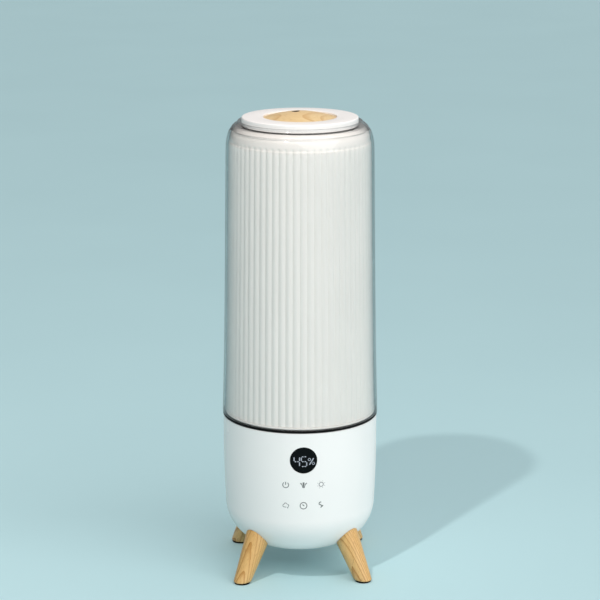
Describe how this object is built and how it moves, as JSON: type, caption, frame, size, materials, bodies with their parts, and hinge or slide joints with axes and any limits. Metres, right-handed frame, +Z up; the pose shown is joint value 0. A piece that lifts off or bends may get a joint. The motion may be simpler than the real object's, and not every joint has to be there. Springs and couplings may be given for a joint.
{
  "type": "cool mist humidifier",
  "caption": "Upright cool mist humidifier: clear lift-off water tank with a fluted sleeve, lid with a turning mist cap, round base with display, splayed wooden legs.",
  "frame": {"origin": "on the floor, under the middle of the base", "axes": "+Z up along the tank, front with the display faces -Y, +X to the right seen from the front"},
  "size_m": [0.1804, 0.1804, 0.539],
  "materials": {
    "gloss_white": "glossy moulded ABS",
    "clear_styrene": "clear polished moulding",
    "milk_white": "satin translucent moulding",
    "beech": "satin lacquered",
    "smoked_acrylic": "glossy",
    "dark_plastic": "matt",
    "soft_rubber": "matt",
    "white_silicone": "matt",
    "zinc_steel": "zinc plated",
    "plated_brass": "nickel plated",
    "circuit_board": "solder mask",
    "felt": "pressed felt"
  },
  "bodies": {
    "base": {"base_shell": "gloss_white", "bottom_cover": "gloss_white", "cover_screw_1": "zinc_steel", "cover_screw_2": "zinc_steel", "cover_screw_3": "zinc_steel", "leg_front_left": "beech", "leg_front_right": "beech", "leg_rear_right": "beech", "leg_rear_left": "beech", "foot_pad_front_left": "soft_rubber", "foot_pad_front_right": "soft_rubber", "foot_pad_rear_right": "soft_rubber", "foot_pad_rear_left": "soft_rubber", "leg_screw_front_left": "zinc_steel", "leg_screw_front_right": "zinc_steel", "leg_screw_rear_right": "zinc_steel", "leg_screw_rear_left": "zinc_steel", "water_deck": "milk_white", "deck_screw_1": "zinc_steel", "deck_screw_2": "zinc_steel", "deck_screw_3": "zinc_steel", "rim_seal": "soft_rubber", "display_window": "smoked_acrylic", "control_board": "circuit_board", "control_screw_1": "zinc_steel", "control_screw_2": "zinc_steel", "main_board": "circuit_board", "board_screw_1": "zinc_steel", "board_screw_2": "zinc_steel", "power_inlet": "dark_plastic", "fan_housing": "dark_plastic", "fan_motor": "dark_plastic", "air_duct": "milk_white", "transducer_seal": "white_silicone", "transducer_disc": "plated_brass", "transducer_holder": "zinc_steel", "transducer_screw_1": "zinc_steel", "transducer_screw_2": "zinc_steel", "tray_housing": "dark_plastic"},
    "fan": {"fan_impeller": "milk_white", "fan_shaft": "zinc_steel"},
    "float": {"water_float": "milk_white"},
    "tray": {"oil_tray": "gloss_white", "oil_pad": "felt"},
    "tank": {"tank_wall": "clear_styrene", "tank_rim": "clear_styrene", "ribbed_sleeve": "milk_white", "tank_floor": "milk_white", "tank_skirt": "milk_white", "mist_hood": "milk_white", "mist_tube": "milk_white", "tube_seal": "white_silicone", "valve_spring": "zinc_steel"},
    "valve": {"valve_stem": "milk_white", "valve_seal": "white_silicone"},
    "lid": {"lid": "gloss_white", "lid_collar": "gloss_white", "lid_seal": "white_silicone"},
    "nozzle": {"nozzle_cap": "beech", "nozzle_insert": "milk_white"}
  },
  "joints": [
    {"name": "fan_spin", "type": "hinge", "parent": "base", "child": "fan", "pos_m": [0, 0, 0.046], "axis": [0, 0, 1], "continuous": true},
    {"name": "float_rise", "type": "slide", "parent": "base", "child": "float", "axis": [0, 0, 1], "range_m": [0, 0.011]},
    {"name": "tray_pull", "type": "slide", "parent": "base", "child": "tray", "axis": [0, 1, 0], "range_m": [0, 0.028]},
    {"name": "tank_lift", "type": "slide", "parent": "base", "child": "tank", "axis": [0, 0, 1], "range_m": [0, 0.06]},
    {"name": "valve_lift", "type": "slide", "parent": "tank", "child": "valve", "axis": [0, 0, 1], "range_m": [-0.004, 0], "stiffness_N_per_m": 40, "springref_m": -0.008, "deforming": ["valve_spring"]},
    {"name": "lid_lift", "type": "slide", "parent": "tank", "child": "lid", "axis": [0, 0, 1], "range_m": [0, 0.04]},
    {"name": "nozzle_turn", "type": "hinge", "parent": "lid", "child": "nozzle", "pos_m": [0, 0, 0.533], "axis": [0, 0, 1], "continuous": true}
  ],
  "couplings": [
    {"joint": "valve_lift", "follows": "tank_lift", "ratio": -0.066667}
  ]
}
